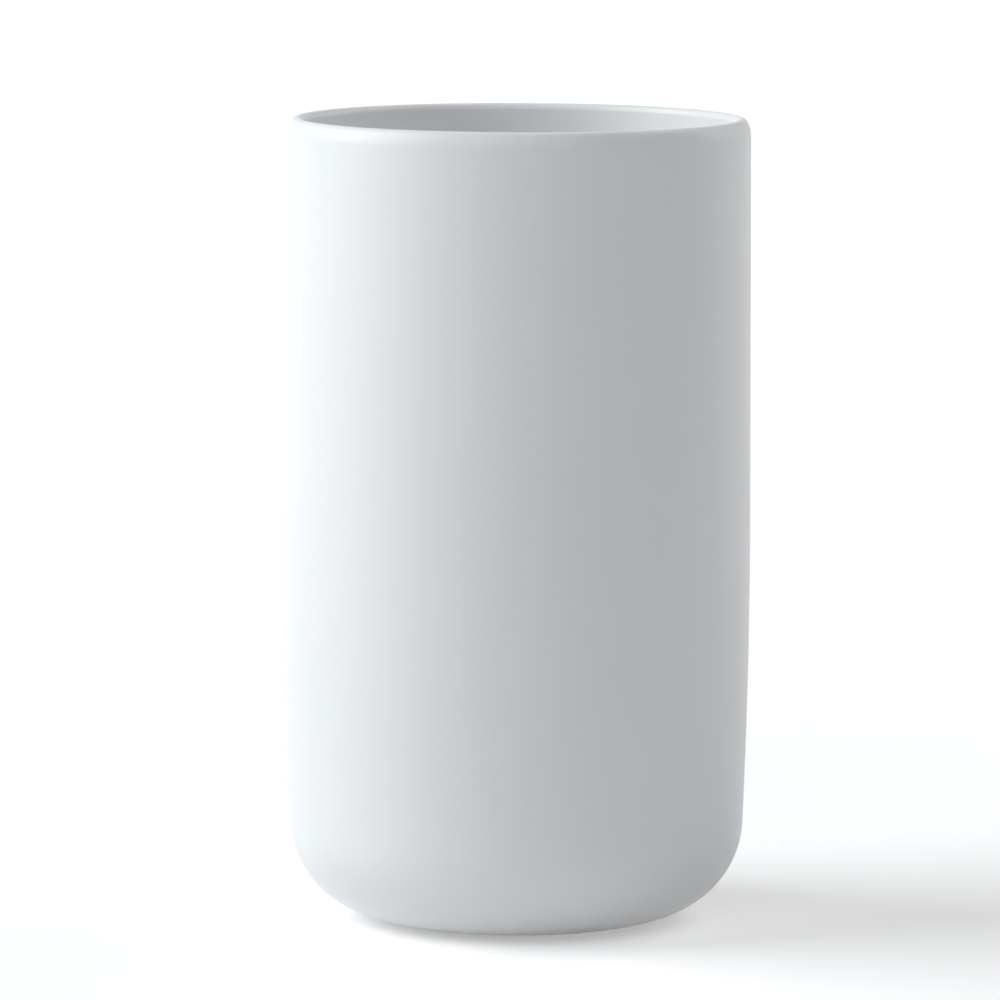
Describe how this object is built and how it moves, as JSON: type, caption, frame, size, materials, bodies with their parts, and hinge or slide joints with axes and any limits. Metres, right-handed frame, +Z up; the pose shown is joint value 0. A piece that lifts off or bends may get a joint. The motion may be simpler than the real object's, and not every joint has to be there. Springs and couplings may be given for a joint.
{
  "type": "pen holder cup",
  "caption": "Straight round pen holder cup in white glazed ceramic, open at the top, with a slim rounded lip, a softly rounded base and a bare foot ring around a non-slip pad.",
  "frame": {"origin": "centre of the underside, on the plane of the desk", "axes": "+Z up along the axis of the cup, out of its mouth; -Y towards the viewer and +X to the right in the reference view"},
  "size_m": [0.0698, 0.0698, 0.1204],
  "materials": {
    "bisque": "bare fired clay, matte",
    "white_glaze": "satin gloss",
    "adhesive_film": "translucent film",
    "silicone_pad": "matte"
  },
  "bodies": {
    "root": {"ceramic_body": "bisque", "outer_glaze": "white_glaze", "inner_glaze": "white_glaze", "base_glaze": "white_glaze", "pad_adhesive": "adhesive_film", "non_slip_pad": "silicone_pad"}
  },
  "joints": []
}
